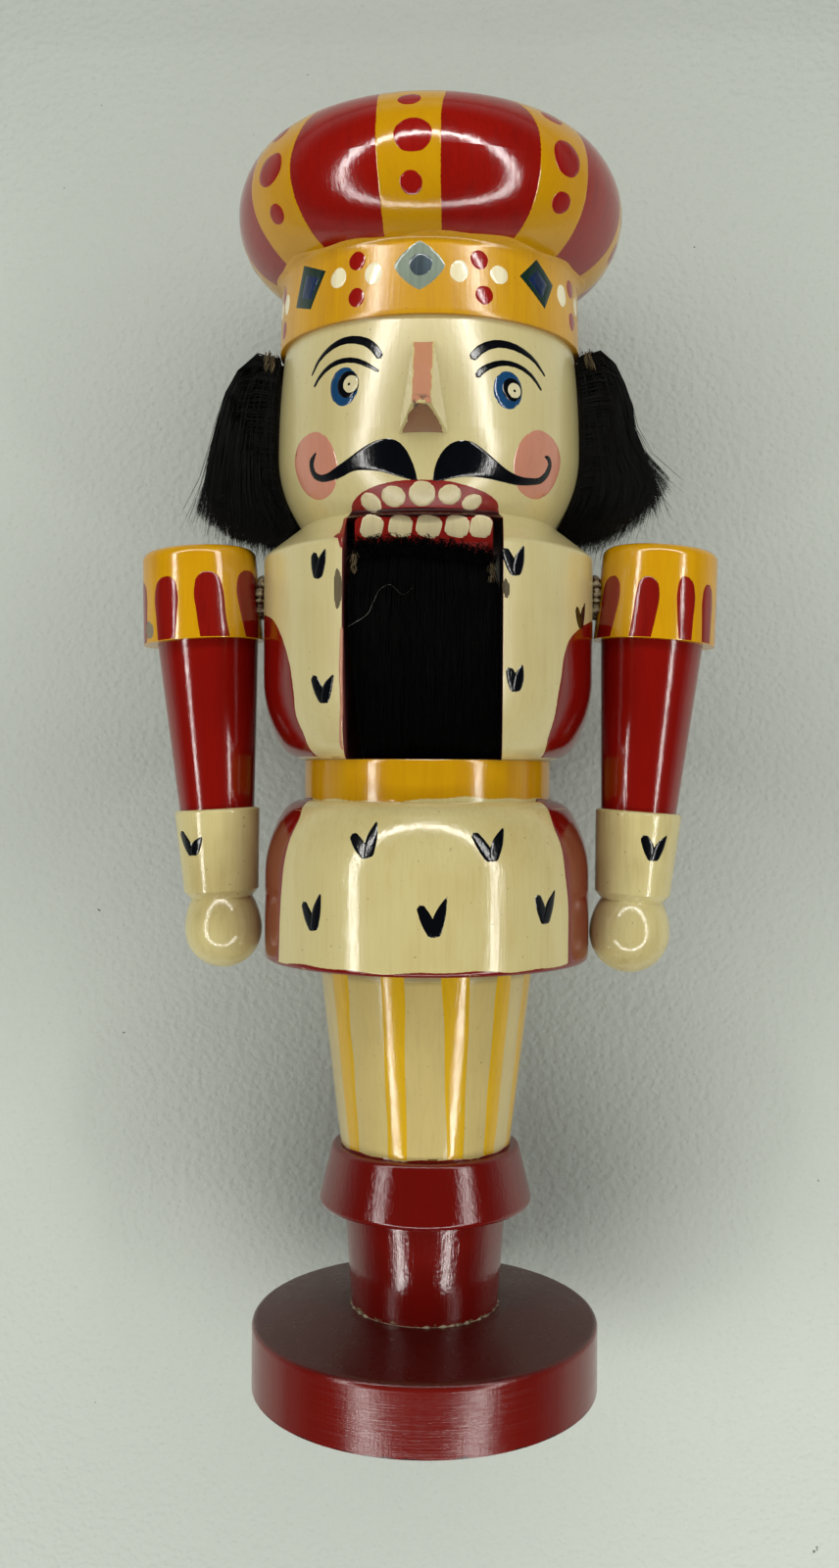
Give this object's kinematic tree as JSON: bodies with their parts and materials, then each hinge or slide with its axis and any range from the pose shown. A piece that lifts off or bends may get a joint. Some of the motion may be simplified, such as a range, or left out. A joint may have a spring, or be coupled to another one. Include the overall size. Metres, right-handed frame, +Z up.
{
  "type": "nutcracker figure",
  "caption": "Turned and painted wooden nutcracker figure of a crowned king, with fur hair and beard and a jaw worked by a lever down its back.",
  "frame": {"origin": "centre of the base plate's underside, on the figure's turning axis", "axes": "+Z up the turning axis to the crown, the face looks along -Y, the figure's own left arm is at +X"},
  "size_m": [0.1374, 0.1006, 0.298],
  "materials": {
    "base_enamel": "gloss",
    "boot_enamel": "gloss",
    "cream_enamel": "gloss",
    "coat_enamel": "gloss",
    "gold_enamel": "gloss",
    "crown_enamel": "gloss",
    "nose_paint": "gloss",
    "jaw_paint": "gloss",
    "bare_wood": "matte",
    "pin_steel": "brushed",
    "black_fur": "matte",
    "fur_hide": "matte"
  },
  "bodies": {
    "figure": {"base_plate": "base_enamel", "ankle_dowel": "bare_wood", "boots": "boot_enamel", "knee_dowel": "bare_wood", "trousers": "cream_enamel", "hip_dowel": "bare_wood", "waist_and_skirt": "cream_enamel", "left_waist_dowel": "bare_wood", "right_waist_dowel": "bare_wood", "head_and_torso": "cream_enamel", "crown_dowel": "bare_wood", "crown": "crown_enamel", "nose": "nose_paint", "jaw_pin": "pin_steel", "hair_backing": "fur_hide", "hair_fur": "black_fur", "left_shoulder_cap": "gold_enamel", "left_sleeve": "coat_enamel", "left_hand": "cream_enamel", "left_shoulder_dowel": "bare_wood", "left_wrist_dowel": "bare_wood", "right_shoulder_cap": "gold_enamel", "right_sleeve": "coat_enamel", "right_hand": "cream_enamel", "right_shoulder_dowel": "bare_wood", "right_wrist_dowel": "bare_wood"},
    "lever": {"jaw_lever": "jaw_paint", "beard_backing": "fur_hide", "beard_fur": "black_fur"}
  },
  "joints": [
    {"name": "jaw_pivot", "type": "hinge", "parent": "figure", "child": "lever", "pos_m": [0, 0.012, 0.178], "axis": [1, 0, 0], "range_deg": [0, 32], "deforming": ["beard_fur"]}
  ]
}
